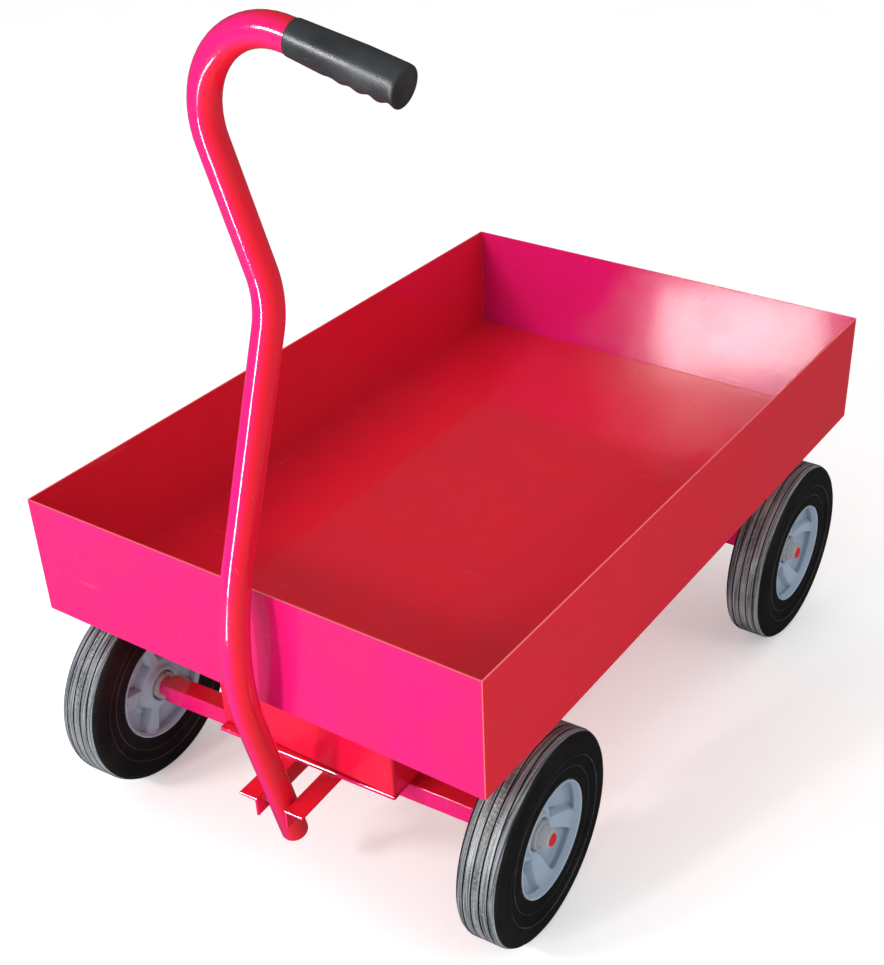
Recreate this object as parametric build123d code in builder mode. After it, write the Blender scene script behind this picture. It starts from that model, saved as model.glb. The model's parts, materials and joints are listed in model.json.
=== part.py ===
from build123d import *
from math import cos, radians, sin, tan
import os

# A steel wagon truck: a shallow lipped tray on four rubber wheels. The front axle turns on a kingpin
# under the tray and carries a short tongue, where a bent pull handle is hinged.
# Millimetres. +Z is up, -Y is the pulling end and X runs across. The origin is on the floor under the
# middle of the wagon's overall length, with the front axle turned by rest_steer as it is parked.

# Tray
tray_length = 914.4
tray_width = 609.6
tray_height = 150.0
sheet = 2.0
tray_bend = 4.0
tray_y = 24.3
deck_height = 290.0

# Running gear
wheel_radius = 127.0
tyre_width = 57.0
track = 556.0
kingpin_from_front = 115.0
rear_axle_from_rear = 122.0
rest_steer = 3.0
bar = 25.4
spindle_radius = 7.94
running_gap = 0.05
side_gap = 0.3

# Supports between the axles and the tray
riser_width = 254.0
riser_depth = 76.2
riser_wall = 3.0
plate = 4.8
plate_width = 250.0
plate_depth = 88.9
turntable_gap = 2.0
kingpin_radius = 6.35

# Tongue and handle
tongue_shift = 6.0
tongue_gap = 38.0
tube_shift = 7.0
tongue_reach = 118.0
angle_leg = 25.4
angle_wall = 3.2
pivot_reach = 96.4
pivot_height = 127.0
bolt_radius = 4.76
tube_radius = 15.9
tube_wall = 2.4
grip_length = 114.5

# Places that follow from the sizes above
axle_height = wheel_radius
bar_top = axle_height + bar / 2
kingpin_y = tray_y - tray_length / 2 + kingpin_from_front
rear_axle_y = tray_y + tray_length / 2 - rear_axle_from_rear
hub_inner = -25.0
hub_outer = 9.0
bar_end = track / 2 + hub_inner - 3.0

# Local frames: x across to the right, y to the rear, z up
tray_frame = Plane(origin=(0, tray_y, 0))
rear_frame = Plane(origin=(0, rear_axle_y, 0))
truck = Plane(
    origin=(0, kingpin_y, 0),
    x_dir=(cos(radians(rest_steer)), sin(radians(rest_steer)), 0),
    z_dir=(0, 0, 1),
)
kingpin_frame = Plane(origin=(0, kingpin_y, 0))

os.makedirs("parts", exist_ok=True)


def save(builder, label):
    """Name a finished piece and write it to its own file."""
    builder.part.label = label
    export_step(builder.part, f"parts/{label}.step")


def cross(frame, x, y, height):
    """A plane that faces across a frame: its own x runs to the rear and its own y runs up."""
    origin = frame.from_local_coords(Vector(x, y, height))
    return Plane(origin=origin, x_dir=frame.y_dir, z_dir=frame.x_dir)


def lengthwise(frame, x, y, height):
    """A plane that faces forward: its own x runs across and its own y runs up."""
    origin = frame.from_local_coords(Vector(x, y, height))
    return Plane(origin=origin, x_dir=frame.x_dir, z_dir=-frame.y_dir)


def add_washer(plane, outer_radius, hole_radius, thickness):
    """Add a flat ring to the current part, lying on a plane."""
    with BuildSketch(plane) as ring:
        Circle(outer_radius)
        Circle(hole_radius, mode=Mode.SUBTRACT)
    extrude(ring.sketch, amount=thickness)


def add_hexagon(plane, across_flats, thickness, hole_radius=0.0):
    """Add a nut, or a bolt head when there is no hole, to the current part."""
    with BuildSketch(plane) as hexagon:
        RegularPolygon(across_flats / 2, 6, major_radius=False)
        if hole_radius:
            Circle(hole_radius, mode=Mode.SUBTRACT)
    extrude(hexagon.sketch, amount=thickness)


# ---- Tray: one folded sheet with a lip on all four sides, open at the top
with BuildPart() as deck_tray:
    with BuildSketch(tray_frame.offset(deck_height)):
        Rectangle(tray_width, tray_length)
    extrude(amount=tray_height)
    fillet(deck_tray.edges().filter_by(Axis.Z), sheet + 0.5)
    fillet(deck_tray.faces().sort_by(Axis.Z)[0].edges(), tray_bend)
    offset(amount=-sheet, openings=deck_tray.faces().sort_by(Axis.Z)[-1])
save(deck_tray, "deck_tray")


def make_angle_iron(start, length, side):
    """An angle iron that runs forward from a plane: one leg lies flat on top and points to a side."""
    with BuildPart() as iron:
        with BuildSketch(start) as section:
            with Locations((side * angle_leg / 2, -angle_wall / 2)):
                Rectangle(angle_leg, angle_wall)
            with Locations((side * angle_wall / 2, -angle_leg / 2)):
                Rectangle(angle_wall, angle_leg)
            fillet(section.vertices(), 0.8)
        extrude(amount=length)
        chamfer(iron.faces().sort_by(Axis(start.origin, start.z_dir))[-1].edges(), 0.4)
    return iron


# ---- Two angle irons under the tray, welded along it outside the risers
rail_length = 760.0
rail_x = 170.0
for side, label in ((-1, "deck_rail_left"), (1, "deck_rail_right")):
    rail_start = lengthwise(tray_frame, side * rail_x, rail_length / 2, deck_height)
    save(make_angle_iron(rail_start, rail_length, -side), label)


# ---- Risers: open boxes of folded plate that hold the tray above each axle
def make_riser(frame, bottom):
    with BuildPart() as riser:
        with BuildSketch(frame.offset(bottom)):
            RectangleRounded(riser_width, riser_depth, riser_wall + 1)
            inside_width = riser_width - 2 * riser_wall
            inside_depth = riser_depth - 2 * riser_wall
            RectangleRounded(inside_width, inside_depth, 1, mode=Mode.SUBTRACT)
        extrude(amount=deck_height - bottom)
    return riser


turntable_top = bar_top + plate
front_riser_bottom = turntable_top + turntable_gap
save(make_riser(kingpin_frame, front_riser_bottom), "front_riser")
save(make_riser(rear_frame, bar_top + plate), "rear_riser")

# The plate inside the foot of the front riser, that rides on the turntable
with BuildPart() as bolster_plate:
    with BuildSketch(kingpin_frame.offset(front_riser_bottom)):
        RectangleRounded(riser_width - 2 * riser_wall, riser_depth - 2 * riser_wall, 1)
        Circle(kingpin_radius + running_gap, mode=Mode.SUBTRACT)
    extrude(amount=plate)
save(bolster_plate, "bolster_plate")

# The plate under the rear riser, welded on the rear axle
with BuildPart() as rear_plate:
    with BuildSketch(rear_frame.offset(bar_top)):
        RectangleRounded(plate_width, plate_depth, 2)
    extrude(amount=plate)
    chamfer(rear_plate.faces().sort_by(Axis.Z)[0].edges(), 0.5)
save(rear_plate, "rear_plate")


# ---- Axles: a square bar with a turned spindle at each end
def make_axle(frame, kingpin_hole):
    collar = 8.0
    spindle_end = track / 2 + 26.0
    with BuildPart() as axle:
        with BuildSketch(cross(frame, -bar_end + collar, 0, axle_height)):
            RectangleRounded(bar, bar, 1.6)
        extrude(amount=2 * (bar_end - collar))
        for side in (-1, 1):
            with BuildSketch(cross(frame, side * (bar_end - collar), 0, axle_height)):
                Circle(bar / 2)
            extrude(amount=side * collar)
            with BuildSketch(cross(frame, side * bar_end, 0, axle_height)):
                Circle(spindle_radius)
            extrude(amount=side * (spindle_end - bar_end))
        ends = axle.faces().sort_by(Axis(frame.origin, frame.x_dir))
        chamfer([*ends[0].edges(), *ends[-1].edges()], 1.2)
        if kingpin_hole:
            with BuildSketch(frame.offset(axle_height - bar)):
                Circle(kingpin_radius + running_gap)
            extrude(amount=2 * bar, mode=Mode.SUBTRACT)
    return axle


save(make_axle(truck, True), "front_axle")
save(make_axle(rear_frame, False), "rear_axle")

# Washers on both sides of each wheel, and the nut that keeps the wheel on
washer = 2.5
nut = 11.0
for frame, end in ((truck, "front"), (rear_frame, "rear")):
    with BuildPart() as axle_washers:
        for side in (-1, 1):
            inner = cross(frame, side * bar_end, 0, axle_height)
            outer = cross(frame, side * (track / 2 + hub_outer + side_gap), 0, axle_height)
            add_washer(inner, 17.0, spindle_radius, side * (3.0 - side_gap))
            add_washer(outer, 17.0, spindle_radius, side * washer)
    save(axle_washers, f"{end}_axle_washers")
    with BuildPart() as axle_nuts:
        for side in (-1, 1):
            seat = side * (track / 2 + hub_outer + side_gap + washer)
            add_hexagon(cross(frame, seat, 0, axle_height), 23.8, side * nut, spindle_radius)
    save(axle_nuts, f"{end}_axle_nuts")

# ---- Turntable: the plate on the front axle, its bearing washer and the kingpin
with BuildPart() as turntable_plate:
    with BuildSketch(truck.offset(bar_top)):
        RectangleRounded(plate_width, plate_depth, 2)
        Circle(kingpin_radius + running_gap, mode=Mode.SUBTRACT)
    extrude(amount=plate)
    chamfer(turntable_plate.faces().sort_by(Axis.Z)[-1].outer_wire().edges(), 0.6)
    chamfer(turntable_plate.faces().sort_by(Axis.Z)[0].outer_wire().edges(), 0.6)
save(turntable_plate, "turntable_plate")

with BuildPart() as bearing_washer:
    add_washer(truck.offset(turntable_top), 30.0, kingpin_radius + running_gap, turntable_gap - side_gap)
save(bearing_washer, "bearing_washer")

kingpin_nut_top = axle_height - bar / 2 - side_gap - washer
with BuildPart() as kingpin:
    add_hexagon(kingpin_frame.offset(front_riser_bottom + plate), 19.0, 8.0)
    with BuildSketch(kingpin_frame.offset(front_riser_bottom + plate)):
        Circle(kingpin_radius)
    extrude(amount=-(front_riser_bottom + plate - kingpin_nut_top + nut + 3.0))
    fillet(kingpin.faces().sort_by(Axis.Z)[0].edges(), 1.0)
save(kingpin, "kingpin")

with BuildPart() as kingpin_washer:
    add_washer(kingpin_frame.offset(kingpin_nut_top), 16.0, kingpin_radius, washer)
save(kingpin_washer, "kingpin_washer")

with BuildPart() as kingpin_nut:
    add_hexagon(kingpin_frame.offset(kingpin_nut_top), 19.0, -nut, kingpin_radius)
save(kingpin_nut, "kingpin_nut")

# ---- Tongue: two angle irons under the turntable plate, with the handle's hinge bolt near their tips
tongue_length = tongue_reach - bar / 2
for side, label in ((-1, "tongue_rail_left"), (1, "tongue_rail_right")):
    inner_face = tongue_shift + side * tongue_gap / 2
    iron = make_angle_iron(lengthwise(truck, inner_face, -bar / 2, bar_top), tongue_length, side)
    with BuildPart() as tongue_rail:
        add(iron.part)
        with BuildSketch(cross(truck, inner_face, -pivot_reach, pivot_height)):
            Circle(bolt_radius)
        extrude(amount=side * angle_wall, mode=Mode.SUBTRACT)
    save(tongue_rail, label)

half_grip_of_bolt = tongue_gap / 2 + angle_wall
bolt_head = 6.0
with BuildPart() as handle_bolt:
    head_plane = cross(truck, tongue_shift - half_grip_of_bolt, -pivot_reach, pivot_height)
    add_hexagon(head_plane, 14.3, -bolt_head)
    with BuildSketch(head_plane):
        Circle(bolt_radius)
    extrude(amount=2 * half_grip_of_bolt + 12.0)
save(handle_bolt, "handle_bolt")

with BuildPart() as handle_bolt_nut:
    nut_plane = cross(truck, tongue_shift + half_grip_of_bolt, -pivot_reach, pivot_height)
    add_hexagon(nut_plane, 14.3, 8.5, bolt_radius)
save(handle_bolt_nut, "handle_bolt_nut")

# ---- Handle: one tube bent at three places. It leans forward from the hinge, bends back over the
# tray's front lip, leans to the left and curls over to a grip that points to the right.
# Corners are (across, forward, height) in the truck's frame.
lean_forward = tan(radians(16.1))
lean_right = tan(radians(3.3))
tail_drop = 58.0
lower_bend_height = 386.0
upper_bend = (20.7, 37.6, 727.2)
upper_lean = radians(18.6)
upper_length = 302.5
grip_droop = radians(14.1)
bend_radii = (312.0, 117.0, 82.0)


def handle_point(across, forward, height):
    return truck.from_local_coords(Vector(across, -forward, height))


def on_lower_tube(height):
    rise = height - pivot_height
    return handle_point(tube_shift + lean_right * rise, pivot_reach + lean_forward * rise, height)


curl_radius = bend_radii[2]
curl_half_turn = (radians(90) + upper_lean + grip_droop) / 2
curl_corner = (
    upper_bend[0] - upper_length * sin(upper_lean),
    upper_bend[1],
    upper_bend[2] + upper_length * cos(upper_lean),
)
grip_direction = truck.x_dir * cos(grip_droop) - truck.z_dir * sin(grip_droop)
grip_start = handle_point(*curl_corner) + grip_direction * (curl_radius * tan(curl_half_turn) + 4.0)
grip_floor = 6.0
tube_end = grip_start + grip_direction * (grip_length - grip_floor)
corners = [
    on_lower_tube(pivot_height - tail_drop),
    on_lower_tube(lower_bend_height),
    handle_point(*upper_bend),
    handle_point(*curl_corner),
    tube_end,
]


def run_piece(start, end):
    """A straight run of the tube between two points."""
    with BuildPart() as run:
        with BuildSketch(Plane(origin=start, x_dir=truck.x_dir.cross(end - start), z_dir=end - start)):
            Circle(tube_radius)
            Circle(tube_radius - tube_wall, mode=Mode.SUBTRACT)
        extrude(amount=(end - start).length)
    return run


def bend_piece(start, end, arriving):
    """A bend of the tube that leaves a point in a direction and ends at another point."""
    with BuildPart() as bend:
        with BuildLine() as arc:
            TangentArc(start, end, tangent=arriving)
        with BuildSketch(Plane(origin=start, x_dir=arriving.cross(end - start), z_dir=arriving)):
            Circle(tube_radius)
            Circle(tube_radius - tube_wall, mode=Mode.SUBTRACT)
        sweep(path=arc.line)
    return bend


# The tube is saved as its runs and bends, which meet end to end
start = corners[0]
sections = (("lower", bend_radii[0]), ("middle", bend_radii[1]), ("upper", bend_radii[2]))
for (place, radius), before, corner, after in zip(sections, corners, corners[1:], corners[2:]):
    arriving = (corner - before).normalized()
    leaving = (after - corner).normalized()
    reach = radius * tan(radians(arriving.get_angle(leaving)) / 2)
    bend_start = corner - arriving * reach
    run = run_piece(start, bend_start)
    with BuildPart() as handle_run:
        add(run.part)
        if place == "lower":
            with BuildSketch(cross(truck, tongue_shift - tongue_gap / 2, -pivot_reach, pivot_height)):
                Circle(6.5)
            extrude(amount=tongue_gap, mode=Mode.SUBTRACT)
    save(handle_run, f"handle_{place}_run")
    start = corner + leaving * reach
    save(bend_piece(bend_start, start, arriving), f"handle_{place}_bend")
save(run_piece(start, tube_end), "handle_grip_run")

# The tube's lower end is closed by a domed plug
dome_height = 5.0
with BuildPart() as handle_end_plug:
    tube_start = Plane(origin=corners[0], x_dir=truck.x_dir, z_dir=corners[1] - corners[0])
    with BuildSketch(tube_start):
        Circle(tube_radius - tube_wall)
    extrude(amount=4.0)
    with BuildSketch(tube_start):
        Circle(tube_radius)
    extrude(amount=-dome_height)
    fillet(handle_end_plug.faces().sort_by(Axis.Z)[0].edges(), dome_height - 0.2)
save(handle_end_plug, "handle_end_plug")

with BuildPart() as hinge_sleeve:
    sleeve_start = tongue_shift - tongue_gap / 2 + side_gap
    sleeve_plane = cross(truck, sleeve_start, -pivot_reach, pivot_height)
    add_washer(sleeve_plane, 6.5, bolt_radius + running_gap, tongue_gap - 2 * side_gap)
save(hinge_sleeve, "hinge_sleeve")

# The grip: a rubber sleeve that swells towards its closed end, with finger grooves underneath
grip_slim = tube_radius + 1.0
grip_thick = 19.5
finger_pitch = 19.0
with BuildPart() as handle_grip:
    grip_plane = Plane(origin=grip_start, x_dir=grip_direction, z_dir=-truck.y_dir)
    with BuildSketch(grip_plane):
        with BuildLine():
            Polyline(
                (0, tube_radius),
                (0, grip_slim),
                (grip_length * 0.6, grip_thick),
                (grip_length - 2, grip_thick),
                (grip_length, grip_thick - 2),
                (grip_length, 0),
                (grip_length - grip_floor, 0),
                (grip_length - grip_floor, tube_radius),
                close=True,
            )
        make_face()
    revolve(axis=Axis(grip_start, grip_direction))
    for number in range(4):
        groove_x = grip_length - finger_pitch * (number + 0.5)
        with BuildSketch(grip_plane):
            with Locations((groove_x, -grip_thick - 6.8)):
                Circle(9.0)
        extrude(amount=grip_thick, both=True, mode=Mode.SUBTRACT)
save(handle_grip, "handle_grip")


# ---- Wheels: solid rubber tyre on a moulded hub with a ball bearing at each end of its boss.
# A profile's points are (outboard from the wheel's middle, radius).
rim_radius = 71.0
rim_half = 25.0
boss_radius = 26.0
bearing_radius = 17.5
bearing_length = 11.0
tread_groove_places = (-15.0, -5.0, 5.0, 15.0)
tread_groove = 2.0


def wheel_profile(frame, side, y):
    """A plane through a wheel's middle: its own x runs outboard and its own y runs up."""
    origin = frame.from_local_coords(Vector(side * track / 2, y, axle_height))
    return Plane(origin=origin, x_dir=frame.x_dir * side, z_dir=-frame.y_dir * side)


def make_tyre(profile):
    half = tyre_width / 2
    shoulder = 12.0
    with BuildPart() as tyre:
        with BuildSketch(profile):
            with BuildLine():
                Polyline((rim_half, rim_radius), (half - 2.5, wheel_radius - 33), (half, wheel_radius - 27))
                Line((half, wheel_radius - 27), (half, wheel_radius - shoulder))
                RadiusArc((half, wheel_radius - shoulder), (half - shoulder, wheel_radius), -shoulder)
                Line((half - shoulder, wheel_radius), (0, wheel_radius))
                Line((0, wheel_radius), (0, rim_radius))
                Line((0, rim_radius), (rim_half, rim_radius))
            make_face()
            mirror(about=Plane.YZ)
            for place in tread_groove_places:
                with Locations((place, wheel_radius)):
                    Rectangle(tread_groove, 2 * tread_groove, mode=Mode.SUBTRACT)
        revolve(axis=Axis(profile.origin, profile.x_dir))
    return tyre


def make_hub(profile):
    web_inner = -21.0
    web_outer = 7.0
    rim_inside = rim_radius - 5.0
    pocket_depth = 11.0
    with BuildPart() as hub:
        with BuildSketch(profile):
            with BuildLine():
                Polyline(
                    (hub_inner, bearing_radius),
                    (hub_inner, boss_radius),
                    (web_inner, boss_radius + 2),
                    (web_inner, rim_inside),
                    (-rim_half, rim_inside + 1),
                    (-rim_half, rim_radius),
                    (rim_half, rim_radius),
                    (rim_half, rim_inside + 1),
                    (web_outer, rim_inside),
                    (web_outer, boss_radius + 2),
                    (hub_outer, boss_radius),
                    (hub_outer, bearing_radius),
                    (hub_outer - bearing_length, bearing_radius),
                    (hub_outer - bearing_length, spindle_radius + 2),
                    (hub_inner + bearing_length, spindle_radius + 2),
                    (hub_inner + bearing_length, bearing_radius),
                    close=True,
                )
            make_face()
        revolve(axis=Axis(profile.origin, profile.x_dir))
        for face, depth in ((web_inner, pocket_depth), (web_outer, -pocket_depth)):
            face_origin = profile.from_local_coords(Vector(face, 0, 0))
            with BuildSketch(Plane(origin=face_origin, x_dir=profile.y_dir, z_dir=profile.x_dir)):
                Circle(rim_inside - 3)
                Circle(boss_radius + 4, mode=Mode.SUBTRACT)
                with PolarLocations(boss_radius + 20, 5):
                    Rectangle(60, 15, mode=Mode.SUBTRACT)
                pocket_corners = vertices()
                fillet(pocket_corners, 4.5)
            extrude(amount=depth, mode=Mode.SUBTRACT)
    return hub


def make_bearing(profile, start):
    with BuildPart() as bearing:
        with BuildSketch(profile):
            with Locations((start + bearing_length / 2, (bearing_radius + spindle_radius + running_gap) / 2)):
                Rectangle(bearing_length, bearing_radius - spindle_radius - running_gap)
            for seal in (start, start + bearing_length):
                with Locations((seal, (bearing_radius + spindle_radius) / 2)):
                    Rectangle(1.0, 4.5, mode=Mode.SUBTRACT)
        revolve(axis=Axis(profile.origin, profile.x_dir))
    return bearing


for frame, end in ((truck, "front"), (rear_frame, "rear")):
    for side, hand in ((-1, "left"), (1, "right")):
        profile = wheel_profile(frame, side, 0)
        wheel = f"{end}_{hand}"
        save(make_tyre(profile), f"{wheel}_tyre")
        save(make_hub(profile), f"{wheel}_hub")
        save(make_bearing(profile, hub_inner), f"{wheel}_bearing_inner")
        save(make_bearing(profile, hub_outer - bearing_length), f"{wheel}_bearing_outer")
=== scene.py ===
import bmesh
import bpy
import json
from math import atan2, cos, degrees, pi, radians, tan
from mathutils import Matrix, Vector


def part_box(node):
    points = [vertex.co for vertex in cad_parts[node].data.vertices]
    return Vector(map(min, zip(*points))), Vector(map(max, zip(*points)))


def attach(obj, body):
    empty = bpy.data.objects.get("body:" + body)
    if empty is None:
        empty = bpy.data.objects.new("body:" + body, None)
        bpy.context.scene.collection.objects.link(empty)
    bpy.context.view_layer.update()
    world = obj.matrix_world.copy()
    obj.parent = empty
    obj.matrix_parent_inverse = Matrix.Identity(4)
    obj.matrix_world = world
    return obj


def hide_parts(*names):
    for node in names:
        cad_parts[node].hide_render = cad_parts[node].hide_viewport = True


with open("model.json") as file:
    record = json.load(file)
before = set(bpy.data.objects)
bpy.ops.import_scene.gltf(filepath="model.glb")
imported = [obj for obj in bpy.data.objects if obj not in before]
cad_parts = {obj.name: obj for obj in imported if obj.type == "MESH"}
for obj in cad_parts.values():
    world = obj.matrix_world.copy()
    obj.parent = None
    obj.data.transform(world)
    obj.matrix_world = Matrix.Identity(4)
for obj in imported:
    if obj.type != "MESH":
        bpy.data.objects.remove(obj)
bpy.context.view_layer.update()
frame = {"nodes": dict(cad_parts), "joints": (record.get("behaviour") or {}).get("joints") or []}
joints = {joint["name"]: joint for joint in frame["joints"]}


# ---- Sprayed red paint
# Gloss enamel, sprayed on all the steel after welding. It has a faint orange peel, slow waves where the
# sheet isn't quite flat and light scuffs. Faces turned to the pulling end get painted light: pink where the
# front light falls on them.
def make_spray_skin():
    """The surface of a sprayed coat: its small and large waves, and a slow change of shade."""
    group = bpy.data.node_groups.new("spray_skin", "ShaderNodeTree")
    group.interface.new_socket("Place", in_out="INPUT", socket_type="NodeSocketVector")
    group.interface.new_socket("Peel Size", in_out="INPUT", socket_type="NodeSocketFloat")
    group.interface.new_socket("Wave Share", in_out="INPUT", socket_type="NodeSocketFloat")
    group.interface.new_socket("Height", in_out="OUTPUT", socket_type="NodeSocketFloat")
    group.interface.new_socket("Mottle", in_out="OUTPUT", socket_type="NodeSocketFloat")
    nodes, links = group.nodes, group.links
    given = nodes.new("NodeGroupInput")
    result = nodes.new("NodeGroupOutput")
    peel = nodes.new("ShaderNodeTexNoise")
    peel.inputs["Detail"].default_value = 1.5
    waves = nodes.new("ShaderNodeTexNoise")
    waves.inputs["Scale"].default_value = 9.0
    waves.inputs["Detail"].default_value = 0.5
    both = nodes.new("ShaderNodeMath")
    both.operation = "MULTIPLY_ADD"
    mottle = nodes.new("ShaderNodeTexNoise")
    mottle.inputs["Scale"].default_value = 16.0
    mottle.inputs["Detail"].default_value = 4.0
    for noise in (peel, waves, mottle):
        links.new(given.outputs["Place"], noise.inputs["Vector"])
    links.new(given.outputs["Peel Size"], peel.inputs["Scale"])
    links.new(waves.outputs["Fac"], both.inputs[0])
    links.new(given.outputs["Wave Share"], both.inputs[1])
    links.new(peel.outputs["Fac"], both.inputs[2])
    links.new(both.outputs[0], result.inputs["Height"])
    links.new(mottle.outputs["Fac"], result.inputs["Mottle"])
    return group


def make_scuffs():
    """Fine straight scratches in two directions, and loose dust, as masks from 0 to 1."""
    group = bpy.data.node_groups.new("scuffs", "ShaderNodeTree")
    group.interface.new_socket("Place", in_out="INPUT", socket_type="NodeSocketVector")
    group.interface.new_socket("Scratches", in_out="OUTPUT", socket_type="NodeSocketFloat")
    group.interface.new_socket("Dust", in_out="OUTPUT", socket_type="NodeSocketFloat")
    nodes, links = group.nodes, group.links
    given = nodes.new("NodeGroupInput")
    result = nodes.new("NodeGroupOutput")
    lines = []
    for turn, stretch in ((25, (260, 7, 60)), (-50, (8, 210, 50))):
        lie = nodes.new("ShaderNodeMapping")
        lie.inputs["Rotation"].default_value = (0.3, 0.2, radians(turn))
        lie.inputs["Scale"].default_value = stretch
        scratch = nodes.new("ShaderNodeTexNoise")
        scratch.inputs["Scale"].default_value = 1.0
        scratch.inputs["Detail"].default_value = 1.0
        keep = nodes.new("ShaderNodeMapRange")
        keep.inputs["From Min"].default_value = 0.76
        keep.inputs["From Max"].default_value = 0.84
        links.new(given.outputs["Place"], lie.inputs["Vector"])
        links.new(lie.outputs["Vector"], scratch.inputs["Vector"])
        links.new(scratch.outputs["Fac"], keep.inputs["Value"])
        lines.append(keep)
    either = nodes.new("ShaderNodeMath")
    either.operation = "MAXIMUM"
    links.new(lines[0].outputs["Result"], either.inputs[0])
    links.new(lines[1].outputs["Result"], either.inputs[1])
    links.new(either.outputs[0], result.inputs["Scratches"])
    grains = nodes.new("ShaderNodeTexNoise")
    grains.inputs["Scale"].default_value = 420.0
    grains.inputs["Detail"].default_value = 3.0
    settle = nodes.new("ShaderNodeMapRange")
    settle.inputs["From Min"].default_value = 0.60
    settle.inputs["From Max"].default_value = 0.78
    links.new(given.outputs["Place"], grains.inputs["Vector"])
    links.new(grains.outputs["Fac"], settle.inputs["Value"])
    links.new(settle.outputs["Result"], result.inputs["Dust"])
    return group


spray_skin = make_spray_skin()
scuffs = make_scuffs()


def start_finish(name):
    """A new material, with its nodes, links, shader and coordinates."""
    finish = bpy.data.materials.new(name)
    finish.use_nodes = True
    nodes, links = finish.node_tree.nodes, finish.node_tree.links
    return finish, nodes, links, nodes["Principled BSDF"], nodes.new("ShaderNodeTexCoord")


def place_group(nodes, links, group, coordinates):
    """Puts an effect in a material and feeds it the object's coordinates."""
    node = nodes.new("ShaderNodeGroup")
    node.node_tree = group
    links.new(coordinates.outputs["Object"], node.inputs["Place"])
    return node


def blend_colours(nodes, links, mask, low, high):
    """Mixes two colours by a mask. Each colour is a value or another node's output."""
    mix = nodes.new("ShaderNodeMix")
    mix.data_type = "RGBA"
    links.new(mask, mix.inputs[0])
    for socket, colour in ((mix.inputs[6], low), (mix.inputs[7], high)):
        if isinstance(colour, tuple):
            socket.default_value = (*colour, 1.0)
        else:
            links.new(colour, socket)
    return mix.outputs[2]


def rescale(nodes, links, value, old, new):
    """Stretches a value from one range to another."""
    node = nodes.new("ShaderNodeMapRange")
    node.inputs["From Min"].default_value, node.inputs["From Max"].default_value = old
    node.inputs["To Min"].default_value, node.inputs["To Max"].default_value = new
    links.new(value, node.inputs["Value"])
    return node.outputs["Result"]


def raise_bumps(nodes, links, shader, height, strength, distance):
    """Roughens a surface by a height, at full height over the given distance."""
    bump = nodes.new("ShaderNodeBump")
    bump.inputs["Strength"].default_value = strength
    bump.inputs["Distance"].default_value = distance
    links.new(height, bump.inputs["Height"])
    links.new(bump.outputs["Normal"], shader.inputs["Normal"])


def mix_enamel(name, red, pink, peel_size, wave_share):
    """Sprayed enamel: red, with painted light: pink where a face looks towards the front light at the pulling
    end.
    """
    finish, nodes, links, shader, coordinates = start_finish(name)
    skin = place_group(nodes, links, spray_skin, coordinates)
    skin.inputs["Peel Size"].default_value = peel_size
    skin.inputs["Wave Share"].default_value = wave_share
    marks = place_group(nodes, links, scuffs, coordinates)
    # Painted light: faces turned towards the front light get pink in their base colour.
    front_light_dot = nodes.new("ShaderNodeVectorMath")
    front_light_dot.operation = "DOT_PRODUCT"
    front_light_dot.inputs[1].default_value = (-0.5, -0.85, 0.15)
    links.new(coordinates.outputs["Normal"], front_light_dot.inputs[0])
    painted_light_mask = rescale(nodes, links, front_light_dot.outputs["Value"], (0.30, 0.80), (0.0, 1.0))
    coat = blend_colours(nodes, links, painted_light_mask, red, pink)
    shade = rescale(nodes, links, skin.outputs["Mottle"], (0.35, 0.65), (0.0, 0.22))
    coat = blend_colours(nodes, links, shade, coat, (red[0] * 0.8, red[1] * 0.8, red[2] * 0.8))
    rubbed = rescale(nodes, links, marks.outputs["Scratches"], (0.0, 1.0), (0.0, 0.12))
    coat = blend_colours(nodes, links, rubbed, coat, (0.85, 0.30, 0.36))
    links.new(coat, shader.inputs["Base Color"])
    gloss = rescale(nodes, links, skin.outputs["Mottle"], (0.3, 0.7), (0.10, 0.20))
    links.new(gloss, shader.inputs["Roughness"])
    shader.inputs["Specular IOR Level"].default_value = 0.45
    shader.inputs["Coat Weight"].default_value = 0.6
    shader.inputs["Coat Roughness"].default_value = 0.07
    shader.inputs["Coat IOR"].default_value = 1.8
    raise_bumps(nodes, links, shader, skin.outputs["Height"], 0.25, 0.0008)
    return finish


enamel = mix_enamel("red_enamel", (0.70, 0.010, 0.028), (0.68, 0.008, 0.150), 260.0, 6.0)
# A shaded copy of the enamel, with little of the painted pink, for the parts under the tray: painted shade.
painted_shade_enamel = mix_enamel("shaded_red_enamel", (0.74, 0.008, 0.026), (0.80, 0.008, 0.050), 260.0, 3.0)
# Paler enamel for the tray's top edge and corners: a painted highlight.
painted_highlight_enamel = mix_enamel("rim_painted_highlight", (0.85, 0.16, 0.17), (0.90, 0.22, 0.30), 260.0, 1.0)


def paint(piece, *finishes):
    """Gives a piece its materials in place of any that it has."""
    piece.data.materials.clear()
    for finish in finishes:
        piece.data.materials.append(finish)


# ---- Tray
# One steel sheet, folded up on four sides with its corners welded and ground smooth. Its raw top edge
# is only as thick as the sheet. Its top edge and corners are painted paler: a painted highlight.
def start_shaping(piece, select_mode):
    """Opens a piece in edit mode with nothing selected."""
    bpy.ops.object.select_all(action="DESELECT")
    piece.select_set(True)
    bpy.context.view_layer.objects.active = piece
    bpy.ops.object.mode_set(mode="EDIT")
    bpy.ops.mesh.select_mode(type=select_mode)
    bpy.ops.mesh.select_all(action="DESELECT")


def pick_faces(piece, wanted):
    """In edit mode, selects only the faces that a test of their centre and normal wants."""
    bpy.ops.mesh.select_mode(type="FACE")
    bpy.ops.mesh.select_all(action="DESELECT")
    shape = bmesh.from_edit_mesh(piece.data)
    for face in shape.faces:
        face.select_set(bool(wanted(face.calc_center_median(), face.normal)))
    bmesh.update_edit_mesh(piece.data)


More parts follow.
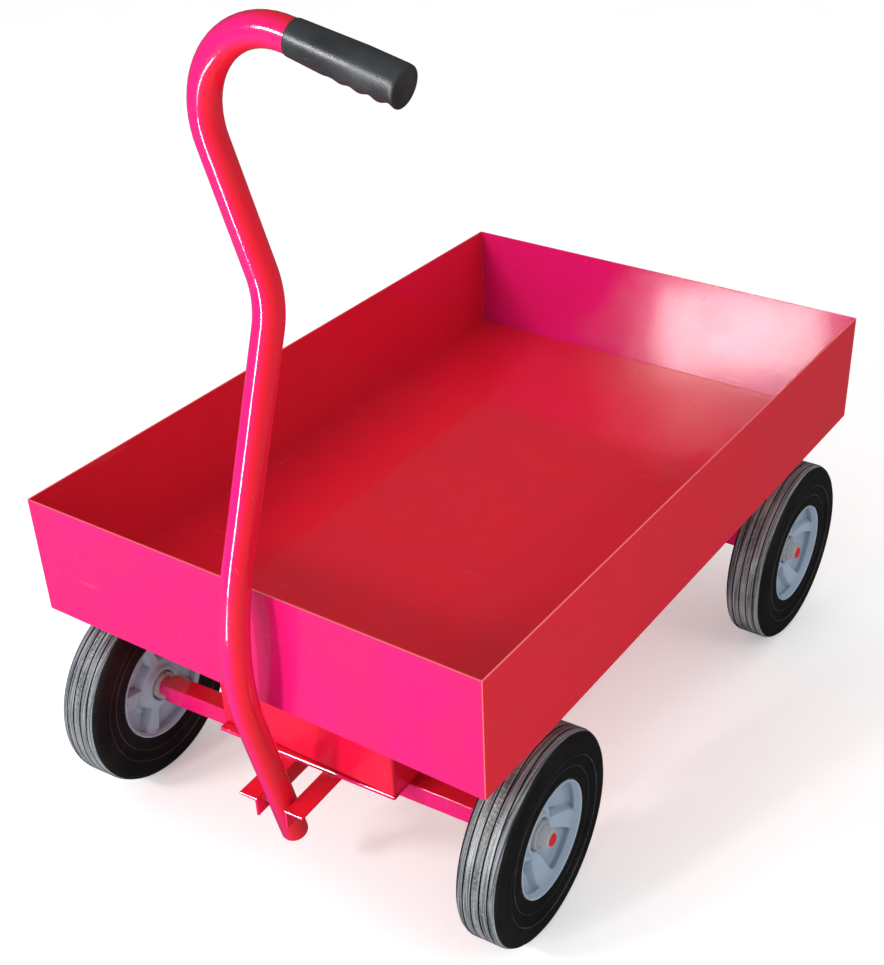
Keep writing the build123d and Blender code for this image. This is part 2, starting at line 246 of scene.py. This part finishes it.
def pick_edges(piece, wanted):
    """In edit mode, selects only the edges that a test of their two ends wants."""
    bpy.ops.mesh.select_mode(type="EDGE")
    bpy.ops.mesh.select_all(action="DESELECT")
    shape = bmesh.from_edit_mesh(piece.data)
    for edge in shape.edges:
        edge.select_set(bool(wanted(edge.verts[0].co, edge.verts[1].co)))
    bmesh.update_edit_mesh(piece.data)


def finish_shaping(piece, smooth_angle):
    """Leaves edit mode, applies the piece's modifiers, smooths its gentle edges and keeps faces flat."""
    bpy.ops.object.mode_set(mode="OBJECT")
    for modifier in list(piece.modifiers):
        bpy.ops.object.modifier_apply(modifier=modifier.name)
    bpy.ops.object.shade_smooth_by_angle(angle=radians(smooth_angle))
    even = piece.modifiers.new("flat_faces", "WEIGHTED_NORMAL")
    even.keep_sharp = True
    bpy.ops.object.modifier_apply(modifier=even.name)


def add_block(name, low, high):
    """A block between two corners, to be shaped."""
    bpy.ops.object.select_all(action="DESELECT")
    centre = (Vector(low) + Vector(high)) / 2
    bpy.ops.mesh.primitive_cube_add(size=1, location=centre, scale=Vector(high) - Vector(low))
    block = bpy.context.object
    block.name = name
    bpy.ops.object.transform_apply(location=True, rotation=True, scale=True)
    return block


def add_bevel(piece, width, segments, angle):
    bevel = piece.modifiers.new("rounded_edges", "BEVEL")
    bevel.width = width
    bevel.segments = segments
    bevel.limit_method = "ANGLE"
    bevel.angle_limit = radians(angle)


sheet_thickness = 0.002
rim_depth = 0.0004
widest_corner_face = 0.0003
tray_low, tray_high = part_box("deck_tray")
tray = add_block("tray_shell", tray_low, tray_high)
start_shaping(tray, "FACE")
pick_faces(tray, lambda centre, normal: normal.z > 0.9)
bpy.ops.mesh.delete(type="ONLY_FACE")
pick_edges(tray, lambda a, b: min(a.z, b.z) < tray_low[2] + 0.001)
bpy.ops.mesh.bevel(offset=0.0022, segments=3, affect="EDGES")
bpy.ops.object.mode_set(mode="OBJECT")
sheet = tray.modifiers.new("sheet", "SOLIDIFY")
sheet.thickness = sheet_thickness
sheet.offset = -1
add_bevel(tray, 0.0005, 2, 50)
finish_shaping(tray, 32)
paint(tray, enamel, painted_highlight_enamel)
# The rim and the narrow corner faces take the paler enamel: a painted highlight.
for face in tray.data.polygons:
    on_rim = face.center.z > tray_high[2] - rim_depth
    on_corner = abs(face.normal.x) > 0.3 and abs(face.normal.y) > 0.3 and abs(face.normal.z) < 0.2
    if on_rim or (on_corner and face.area < widest_corner_face):
        face.material_index = 1
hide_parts("deck_tray")
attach(tray, "chassis")


# ---- Rails, risers, plates and axles
# Angle irons, folded boxes, flat plates and square bars, sawn, ground and sprayed with the tray. Their
# shapes are the frame's own, so only the paint is new.
# The rails, risers and plates under the tray take the shaded copy of the enamel: painted shade.
for node in (
    "deck_rail_left",
    "deck_rail_right",
    "rear_riser",
    "rear_plate",
    "front_riser",
    "bolster_plate",
):
    paint(frame["nodes"][node], painted_shade_enamel)
for node in ("front_axle", "rear_axle", "turntable_plate", "tongue_rail_left", "tongue_rail_right"):
    paint(frame["nodes"][node], enamel)


# ---- Pull handle
# One tube, bent cold at three places: it leans forward from its hinge, back over the tray, then curls
# over to the grip. Its lower end is closed with a small dome and painted with the rest. Out of sight in
# the grip it narrows, so it never shows in the grip's grooves.
def on_truck(across, forward, height):
    """A point on the steered front truck, in millimetres from the kingpin's foot."""
    kingpin = Vector(joints["steer"]["pos_m"])
    right = Vector(joints["handle_tilt"]["axis"])
    ahead = Vector((right.y, -right.x, 0))
    spot = Vector((kingpin.x, kingpin.y, 0)) + right * across / 1000 + ahead * forward / 1000
    spot.z = height / 1000
    return spot


def add_ring(name, centre, direction, radius, corners):
    """A circle that faces along a direction, open in edit mode and all selected."""
    bpy.ops.object.select_all(action="DESELECT")
    turn = Vector(direction).to_track_quat("Z", "Y").to_euler()
    bpy.ops.mesh.primitive_circle_add(vertices=corners, radius=radius, location=centre, rotation=turn)
    ring = bpy.context.object
    ring.name = name
    bpy.ops.object.transform_apply(location=True, rotation=True, scale=True)
    bpy.ops.object.mode_set(mode="EDIT")
    bpy.ops.mesh.select_mode(type="EDGE")
    bpy.ops.mesh.select_all(action="SELECT")
    return ring


def extrude_ring(shift, growth, centre):
    """Draws the selected ring out along a shift, then scales it about its new centre."""
    bpy.ops.mesh.extrude_region_move(TRANSFORM_OT_translate={"value": shift})
    if growth != 1:
        bpy.ops.transform.resize(value=(growth, growth, growth), center_override=centre)


def turn_rings(rings, centre, direction):
    """Extrudes the selected ring through (distance, radius) pairs. The first pair is the ring's own."""
    for (here, radius), (there, new_radius) in zip(rings, rings[1:]):
        extrude_ring(direction * (there - here), new_radius / radius, centre + direction * there)


bend_radii = (0.312, 0.117, 0.082)
corners = [
    on_truck(3.66, 79.66, 69),
    on_truck(21.93, 171.16, 386),
    on_truck(20.7, 37.6, 727.2),
    on_truck(-75.79, 37.6, 1013.9),
    on_truck(110, 37.6, 967.2),
]
upward = (corners[1] - corners[0]).normalized()
dome = [(-0.0048, 0.004), (-0.0045, 0.0085), (-0.0036, 0.0122), (-0.0018, 0.0149), (0.0, 0.0159)]
handle = add_ring("handle_tube_bent", corners[0] + upward * dome[0][0], upward, dome[0][1], 40)
bpy.ops.mesh.edge_face_add()
turn_rings(dome, corners[0], upward)
here = corners[0]
for before, corner, after, radius in zip(corners, corners[1:], corners[2:], bend_radii):
    arriving = (corner - before).normalized()
    leaving = (after - corner).normalized()
    swing = arriving.angle(leaving)
    bend_start = corner - arriving * radius * tan(swing / 2)
    hub_axis = arriving.cross(leaving).normalized()
    bend_centre = bend_start + hub_axis.cross(arriving) * radius
    extrude_ring(bend_start - here, 1, bend_start)
    bpy.ops.mesh.spin(steps=22, angle=-swing, center=bend_centre, axis=hub_axis)
    here = corner + leaving * radius * tan(swing / 2)
inside_grip = here + leaving * 0.012
narrowed = inside_grip + leaving * 0.001
extrude_ring(inside_grip - here, 1, inside_grip)
extrude_ring(narrowed - inside_grip, 0.8, narrowed)
extrude_ring(corners[-1] - narrowed, 1, corners[-1])
bpy.ops.mesh.edge_face_add()
bpy.ops.mesh.select_all(action="SELECT")
bpy.ops.mesh.remove_doubles(threshold=0.00001)
bpy.ops.mesh.normals_make_consistent(inside=False)
finish_shaping(handle, 50)
paint(handle, enamel)
tube_nodes = [node for node in frame["nodes"] if node.startswith("handle_") and node[-4:] in ("_run", "bend")]
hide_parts("handle_end_plug", *tube_nodes)
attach(handle, "handle")


# ---- Grip
# A moulded rubber sleeve, pushed on the tube's end. It swells towards its closed end and has shallow
# finger grooves underneath.
def mix_rubber(name, colour, wear_and_sheen_colour, roughness, grain_size, bump_depth, streaks=0.0):
    """Rubber with wear and dust; on the tread its paler colour is partly a painted sheen. Its streaks are
    thin rings round a wheel, from 0 (none) to 1.
    """
    finish, nodes, links, shader, coordinates = start_finish(name)
    skin = place_group(nodes, links, spray_skin, coordinates)
    skin.inputs["Peel Size"].default_value = grain_size
    skin.inputs["Wave Share"].default_value = 0.3
    marks = place_group(nodes, links, scuffs, coordinates)
    rolled = nodes.new("ShaderNodeMapping")
    rolled.inputs["Scale"].default_value = (650.0, 14.0, 14.0)
    links.new(coordinates.outputs["Object"], rolled.inputs["Vector"])
    lines = nodes.new("ShaderNodeTexNoise")
    lines.inputs["Scale"].default_value = 1.0
    lines.inputs["Detail"].default_value = 3.0
    links.new(rolled.outputs["Vector"], lines.inputs["Vector"])
    mixed = nodes.new("ShaderNodeMix")
    mixed.inputs[0].default_value = streaks
    links.new(skin.outputs["Mottle"], mixed.inputs[2])
    links.new(lines.outputs["Fac"], mixed.inputs[3])
    wear_and_sheen = rescale(nodes, links, mixed.outputs[0], (0.40, 0.66), (0.0, 1.0))
    rubber = blend_colours(nodes, links, wear_and_sheen, colour, wear_and_sheen_colour)
    dusty = rescale(nodes, links, marks.outputs["Dust"], (0.0, 1.0), (0.0, 0.35))
    rubber = blend_colours(nodes, links, dusty, rubber, tuple(min(1.0, c * 1.8 + 0.05) for c in wear_and_sheen_colour))
    links.new(rubber, shader.inputs["Base Color"])
    dull = rescale(nodes, links, skin.outputs["Mottle"], (0.3, 0.7), roughness)
    links.new(dull, shader.inputs["Roughness"])
    raise_bumps(nodes, links, shader, skin.outputs["Height"], 0.5, bump_depth)
    return finish


grip_rubber = mix_rubber(
    "grip_rubber", (0.020, 0.022, 0.025), (0.034, 0.037, 0.040), (0.24, 0.34), 900.0, 0.0003
)
grip_end_rubber = mix_rubber(
    "grip_end_rubber", (0.012, 0.012, 0.013), (0.03, 0.03, 0.03), (0.5, 0.7), 500.0, 0.0008
)

grip_way = (corners[4] - corners[3]).normalized()
swing = (corners[3] - corners[2]).angle(corners[4] - corners[3])
grip_start = corners[3] + grip_way * (bend_radii[2] * tan(swing / 2) + 0.004)
grip_length = 0.1145
grip_rings = [(0.0012, 0.0150), (0.0002, 0.0160), (0.0002, 0.0165), (0.0012, 0.0169)]
for step in range(1, 35):
    along = 0.0012 + step * 0.0032
    grip_rings.append((along, 0.0169 + 0.0026 * min(1, along / 0.07)))
grip_rings += [(0.1128, 0.0192), (0.1139, 0.0186), (0.1143, 0.0176), (0.1143, 0.0150), (0.1139, 0.0146)]
grip_rings += [(0.1139, 0.0050)]
grip = add_ring("handle_grip_moulded", grip_start + grip_way * 0.0012, grip_way, 0.0150, 48)
turn_rings(grip_rings, grip_start, grip_way)
bpy.ops.mesh.edge_face_add()
under = (Vector((0, 0, -1)) + grip_way * grip_way.z).normalized()
groove_pitch = 0.0190
for groove in range(4):
    valley = grip_length - groove_pitch * (groove + 0.5)
    for reach, depth in ((0.0055, 0.0016 - 0.0003 * groove), (0.0030, 0.0013 - 0.0003 * groove)):
        pick_edges(
            grip,
            lambda a, b: all(
                abs((p - grip_start).dot(grip_way) - valley) < reach
                and (p - grip_start - grip_way * (p - grip_start).dot(grip_way)).dot(under) > 0.0105
                for p in (a, b)
            ),
        )
        bpy.ops.transform.translate(value=-under * depth)
bpy.ops.mesh.select_all(action="SELECT")
bpy.ops.mesh.normals_make_consistent(inside=False)
bpy.ops.object.mode_set(mode="OBJECT")
rounding = grip.modifiers.new("moulded", "SUBSURF")
rounding.levels = rounding.render_levels = 2
finish_shaping(grip, 60)
paint(grip, grip_rubber, grip_end_rubber)
for face in grip.data.polygons:
    if (face.center - grip_start).dot(grip_way) > grip_length - 0.0012:
        face.material_index = 1
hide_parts("handle_grip")
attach(grip, "handle")


# ---- Bolts, nuts and washers
# Bright zinc-plated steel, slightly brushed by handling. The kingpin, the hinge bolt and the bearings
# keep their shapes from the frame.
def plate_with_zinc(name, bright, dark, roughness):
    finish, nodes, links, shader, coordinates = start_finish(name)
    skin = place_group(nodes, links, spray_skin, coordinates)
    skin.inputs["Peel Size"].default_value = 700.0
    skin.inputs["Wave Share"].default_value = 0.5
    marks = place_group(nodes, links, scuffs, coordinates)
    steel = blend_colours(nodes, links, skin.outputs["Mottle"], bright, dark)
    scratched = rescale(nodes, links, marks.outputs["Scratches"], (0.0, 1.0), (0.0, 0.4))
    steel = blend_colours(nodes, links, scratched, steel, (0.85, 0.85, 0.84))
    links.new(steel, shader.inputs["Base Color"])
    dull = rescale(nodes, links, skin.outputs["Mottle"], (0.3, 0.7), roughness)
    links.new(dull, shader.inputs["Roughness"])
    shader.inputs["Metallic"].default_value = 0.45
    raise_bumps(nodes, links, shader, skin.outputs["Height"], 0.25, 0.0003)
    return finish


zinc = plate_with_zinc("bright_zinc", (0.74, 0.74, 0.73), (0.46, 0.46, 0.46), (0.16, 0.34))
for node in frame["nodes"]:
    if "bearing" in node or "washer" in node or node in (
        "kingpin",
        "kingpin_nut",
        "handle_bolt",
        "handle_bolt_nut",
        "hinge_sleeve",
    ):
        paint(frame["nodes"][node], zinc)

across_flats = 0.0238
nut_length = 0.011
bpy.ops.object.select_all(action="DESELECT")
bpy.ops.mesh.primitive_cylinder_add(
    vertices=6, radius=across_flats / 2 / cos(radians(30)), depth=nut_length, rotation=(0, pi / 2, 0)
)
lock_nut = bpy.context.object
lock_nut.name = "axle_lock_nut"
bpy.ops.object.transform_apply(location=True, rotation=True, scale=True)
start_shaping(lock_nut, "FACE")
pick_faces(lock_nut, lambda centre, normal: normal.x > 0.9)
bpy.ops.mesh.inset(thickness=0.0022)
bpy.ops.mesh.extrude_region_move(TRANSFORM_OT_translate={"value": (0.0014, 0, 0)})
bpy.ops.object.mode_set(mode="OBJECT")
add_bevel(lock_nut, 0.0009, 3, 35)
finish_shaping(lock_nut, 40)
paint(lock_nut, zinc)


# ---- Tyres
# Solid moulded rubber: black sidewalls with a recess and fine raised rings, and a grey tread with
# four grooves and a rougher middle rib. The rings are painted paler as a painted highlight; the tread's
# pale grey and its streaks are partly wear and partly painted sheen. One is modelled and copied to each
# wheel.
sidewall_rubber = mix_rubber(
    "sidewall_rubber", (0.004, 0.004, 0.0045), (0.008, 0.008, 0.009), (0.45, 0.62), 600.0, 0.0006
)
# The raised sidewall rings are painted paler than the sidewall: a painted highlight.
ring_painted_highlight_rubber = mix_rubber("ring_painted_highlight_rubber", (0.03, 0.03, 0.032), (0.07, 0.07, 0.072), (0.35, 0.5), 600.0, 0.0006)
# The tread's pale grey and streaks are partly wear and partly painted sheen of the front light.
tread_rubber = mix_rubber(
    "tread_rubber", (0.045, 0.052, 0.060), (0.30, 0.325, 0.345), (0.20, 0.36), 420.0, 0.0008, 0.8
)
rough_tread_rubber = mix_rubber(
    "rough_tread_rubber", (0.07, 0.075, 0.08), (0.33, 0.34, 0.34), (0.30, 0.5), 240.0, 0.006, 0.5
)

tyre_side = [
    (0.0240, 0.0708),
    (0.0256, 0.0718),
    (0.0258, 0.0750),
    (0.0248, 0.0770),
    (0.0246, 0.0850),
    (0.0251, 0.0852),
    (0.0252, 0.0856),
    (0.0251, 0.0860),
    (0.0246, 0.0862),
    (0.0247, 0.0925),
    (0.0256, 0.0945),
    (0.0262, 0.0975),
    (0.0278, 0.0988),
    (0.0283, 0.0994),
    (0.0283, 0.0999),
    (0.0276, 0.1008),
    (0.0279, 0.1040),
    (0.0283, 0.1090),
    (0.0281, 0.1140),
    (0.0272, 0.1185),
    (0.0253, 0.1220),
    (0.0226, 0.1248),
    (0.0195, 0.1263),
    (0.0170, 0.12695),
]
tyre_tread = []
for groove in (0.0150, 0.0050, -0.0050, -0.0150):
    tyre_tread += [
        (groove + 0.0012, 0.1270),
        (groove + 0.0008, 0.1266),
        (groove + 0.0006, 0.1252),
        (groove - 0.0006, 0.1252),
        (groove - 0.0008, 0.1266),
        (groove - 0.0012, 0.1270),
    ]
tyre_profile = tyre_side + tyre_tread + [(-x, radius) for x, radius in reversed(tyre_side)] + [tyre_side[0]]
outboard = Vector((1, 0, 0))
tyre = add_ring("tyre", outboard * tyre_profile[0][0], outboard, tyre_profile[0][1], 120)
turn_rings(tyre_profile, Vector((0, 0, 0)), outboard)
bpy.ops.mesh.select_all(action="SELECT")
bpy.ops.mesh.remove_doubles(threshold=0.00001)
bpy.ops.mesh.normals_make_consistent(inside=False)
finish_shaping(tyre, 28)
paint(tyre, sidewall_rubber, tread_rubber, rough_tread_rubber, ring_painted_highlight_rubber)
for face in tyre.data.polygons:
    radius = Vector((0, face.center.y, face.center.z)).length
    if radius > 0.1251:
        face.material_index = 1
    if radius > 0.1264 and abs(face.center.x) < 0.0040:
        face.material_index = 2
    if 0.1251 < radius < 0.1262 and abs(face.center.x) < 0.0165:
        face.material_index = 0
    if 0.0851 < radius < 0.0861 or 0.0988 < radius < 0.1000:
        face.material_index = 3


# ---- Hubs
# Moulded blue-grey plastic: a rim, a bearing boss and five broad spokes with scooped pockets between
# them on both faces. The pockets are deeper next to the boss.
def mould_plastic(name, colour, shade):
    finish, nodes, links, shader, coordinates = start_finish(name)
    skin = place_group(nodes, links, spray_skin, coordinates)
    skin.inputs["Peel Size"].default_value = 500.0
    skin.inputs["Wave Share"].default_value = 1.0
    marks = place_group(nodes, links, scuffs, coordinates)
    plastic = blend_colours(nodes, links, skin.outputs["Mottle"], colour, shade)
    dusty = rescale(nodes, links, marks.outputs["Dust"], (0.0, 1.0), (0.0, 0.15))
    plastic = blend_colours(nodes, links, dusty, plastic, (0.55, 0.58, 0.60))
    links.new(plastic, shader.inputs["Base Color"])
    dull = rescale(nodes, links, skin.outputs["Mottle"], (0.3, 0.7), (0.24, 0.38))
    links.new(dull, shader.inputs["Roughness"])
    shader.inputs["Coat Weight"].default_value = 0.2
    raise_bumps(nodes, links, shader, skin.outputs["Height"], 0.3, 0.0006)
    return finish


hub_plastic = mould_plastic("hub_plastic", (0.38, 0.46, 0.56), (0.29, 0.37, 0.46))

hub_outer_face = [
    (0.0090, 0.0175),
    (0.0090, 0.0235),
    (0.0082, 0.0248),
    (0.0040, 0.0262),
    (0.0028, 0.0290),
    (0.0030, 0.0315),
    (0.0045, 0.0400),
    (0.0070, 0.0500),
    (0.0100, 0.0580),
    (0.0130, 0.0625),
    (0.0180, 0.0655),
    (0.0235, 0.0668),
    (0.0252, 0.0676),
    (0.0254, 0.0692),
    (0.0245, 0.0706),
]
hub_inner_face = [
    (-0.0245, 0.0706),
    (-0.0254, 0.0692),
    (-0.0252, 0.0676),
    (-0.0240, 0.0668),
    (-0.0222, 0.0655),
    (-0.0205, 0.0625),
    (-0.0195, 0.0580),
    (-0.0185, 0.0500),
    (-0.0180, 0.0400),
    (-0.0180, 0.0315),
    (-0.0182, 0.0290),
    (-0.0195, 0.0262),
    (-0.0242, 0.0248),
    (-0.0250, 0.0235),
    (-0.0250, 0.0175),
]
hub_profile = hub_outer_face + hub_inner_face + [hub_outer_face[0]]
hub = add_ring("hub", outboard * hub_profile[0][0], outboard, hub_profile[0][1], 60)
turn_rings(hub_profile, Vector((0, 0, 0)), outboard)
bpy.ops.mesh.select_all(action="SELECT")
bpy.ops.mesh.remove_doubles(threshold=0.00001)
bpy.ops.mesh.normals_make_consistent(inside=False)


def in_pocket(centre):
    """True between two spokes, from the boss to the rim."""
    radius = Vector((0, centre.y, centre.z)).length
    angle = degrees(atan2(centre.z, centre.y)) % 72
    return 0.0315 < radius < 0.0640 and 9 < angle < 63


pocket_steps = ((0.0014, 0.0), (0.0022, -0.0055), (0.0016, -0.0030))
undercut_radius = 0.047
undercut = 0.0035
for face_side in (1, -1):
    pick_faces(hub, lambda centre, normal: normal.x * face_side > 0.3 and in_pocket(centre))
    for thickness, depth in pocket_steps:
        bpy.ops.mesh.inset(thickness=thickness, depth=depth, use_even_offset=False)
    shape = bmesh.from_edit_mesh(hub.data)
    for face in shape.faces:
        middle = face.calc_center_median()
        face.select_set(face.select and Vector((0, middle.y, middle.z)).length < undercut_radius)
    bmesh.update_edit_mesh(hub.data)
    bpy.ops.transform.translate(value=(-undercut * face_side, 0, 0))
bpy.ops.object.mode_set(mode="OBJECT")
rounding = hub.modifiers.new("moulded", "SUBSURF")
rounding.levels = rounding.render_levels = 2
finish_shaping(hub, 60)
paint(hub, hub_plastic)


# ---- The four wheels
# Each wheel is a tyre pressed on a hub, with two bearings, and turns on its spindle between a washer
# and a lock nut. Each stands at its own angle, as they stopped rolling.
def copy_to_wheel(pattern, name, joint, side, roll):
    """A copy of a wheel's piece with its own mesh, moved to a wheel and turned to face outboard."""
    piece = pattern.copy()
    piece.data = pattern.data.copy()
    piece.name = name
    bpy.context.scene.collection.objects.link(piece)
    across = Vector(joint["axis"]) * side
    steer = Matrix.Rotation(atan2(across.y, across.x), 4, "Z")
    place = Matrix.Translation(Vector(joint["pos_m"])) @ steer @ Matrix.Rotation(radians(roll), 4, "X")
    piece.data.transform(place)
    return piece


nut_seat = 0.0118
for wheel, side, roll in (
    ("front_left", -1, 10),
    ("front_right", 1, 54),
    ("rear_left", -1, 50),
    ("rear_right", 1, 5),
):
    spin = joints[wheel + "_spin"]
    for pattern, finish_slot in ((tyre, "tyre_rubber"), (hub, "hub_plastic")):
        piece = copy_to_wheel(pattern, f"{wheel}_{pattern.name}_moulded", spin, side, roll)
        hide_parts(f"{wheel}_{pattern.name}")
        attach(piece, wheel + "_wheel")
for end, body in (("front", "front_truck"), ("rear", "chassis")):
    for hand, side in (("left", -1), ("right", 1)):
        spin = joints[f"{end}_{hand}_spin"]
        piece = copy_to_wheel(lock_nut, f"{end}_{hand}_lock_nut", spin, side, 10)
        piece.data.transform(Matrix.Translation(Vector(spin["axis"]) * side * (nut_seat + nut_length / 2)))
        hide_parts(f"{end}_axle_nuts")
        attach(piece, body)
for pattern in (tyre, hub, lock_nut):
    bpy.data.objects.remove(pattern)


# ---- Studio
# A pale floor and surround that show only dimly in the gloss, two windows at the pulling end, a soft
# lamp on the right, and a low strip that draws a line of light along the bent tube.
bpy.ops.object.select_all(action="DESELECT")
bpy.ops.mesh.primitive_plane_add(size=14, location=(0, 0, 0))
floor = bpy.context.object
floor.name = "studio_floor"
floor_finish, nodes, links, shader, coordinates = start_finish("pale_floor")
grain = nodes.new("ShaderNodeTexNoise")
grain.inputs["Scale"].default_value = 3.0
links.new(coordinates.outputs["Object"], grain.inputs["Vector"])
pale = blend_colours(nodes, links, grain.outputs["Fac"], (0.86, 0.86, 0.86), (0.90, 0.90, 0.90))
links.new(pale, shader.inputs["Base Color"])
shader.inputs["Roughness"].default_value = 0.9
shader.inputs["Specular IOR Level"].default_value = 0.1
shader.inputs["Emission Color"].default_value = (1.0, 1.0, 1.0, 1.0)
shader.inputs["Emission Strength"].default_value = 0.28
dim_floor = nodes.new("ShaderNodeBsdfDiffuse")
dim_floor.inputs["Color"].default_value = (0.09, 0.09, 0.09, 1.0)
rays = nodes.new("ShaderNodeLightPath")
choose = nodes.new("ShaderNodeMixShader")
links.new(rays.outputs["Is Glossy Ray"], choose.inputs[0])
links.new(shader.outputs[0], choose.inputs[1])
links.new(dim_floor.outputs[0], choose.inputs[2])
links.new(choose.outputs[0], nodes["Material Output"].inputs["Surface"])
paint(floor, floor_finish)

world = bpy.data.worlds.new("studio")
bpy.context.scene.world = world
world.use_nodes = True
nodes, links = world.node_tree.nodes, world.node_tree.links
surround = nodes["Background"]
surround.inputs["Color"].default_value = (1.0, 1.0, 1.0, 1.0)
surround.inputs["Strength"].default_value = 0.78
dim = nodes.new("ShaderNodeBackground")
dim.inputs["Color"].default_value = (1.0, 1.0, 1.0, 1.0)
dim.inputs["Strength"].default_value = 0.07
rays = nodes.new("ShaderNodeLightPath")
choose = nodes.new("ShaderNodeMixShader")
links.new(rays.outputs["Is Glossy Ray"], choose.inputs[0])
links.new(surround.outputs[0], choose.inputs[1])
links.new(dim.outputs[0], choose.inputs[2])
links.new(choose.outputs[0], nodes["World Output"].inputs["Surface"])


def hang_lamp(name, place, target, width, height, power):
    """A soft rectangular lamp at a place, facing a target."""
    lamp = bpy.data.lights.new(name, "AREA")
    lamp.shape = "RECTANGLE"
    lamp.size = width
    lamp.size_y = height
    lamp.energy = power
    stand = bpy.data.objects.new(name, lamp)
    bpy.context.scene.collection.objects.link(stand)
    stand.location = place
    stand.rotation_euler = (Vector(target) - Vector(place)).to_track_quat("-Z", "Y").to_euler()
    return stand


hang_lamp("front_window", (-1.09, -2.36, 1.67), (0.05, 0.2, 0.3), 0.60, 0.26, 30)
hang_lamp("tall_window", (-0.55, -3.0, 0.95), (0, -0.4, 0.95), 0.22, 1.7, 42)
hang_lamp("right_window", (3.0, -0.4, 2.6), (0, 0, 0.3), 1.6, 1.2, 18)
strip = hang_lamp("floor_strip", (-0.35, -2.0, 0.012), (-0.35, -2.0, 2.0), 0.14, 1.4, 10)
strip.rotation_euler = (pi, 0, radians(-12))

camera_data = bpy.data.cameras.new("camera")
camera = bpy.data.objects.new("camera", camera_data)
bpy.context.scene.collection.objects.link(camera)
camera.location = (0.915, -1.315, 1.308)
camera.rotation_euler = (radians(56.85), radians(1.08), radians(33.21))
camera_data.lens = 55.5
camera_data.shift_x = -0.054
camera_data.shift_y = 0.049
bpy.context.scene.camera = camera
bpy.context.scene.view_settings.view_transform = "Standard"
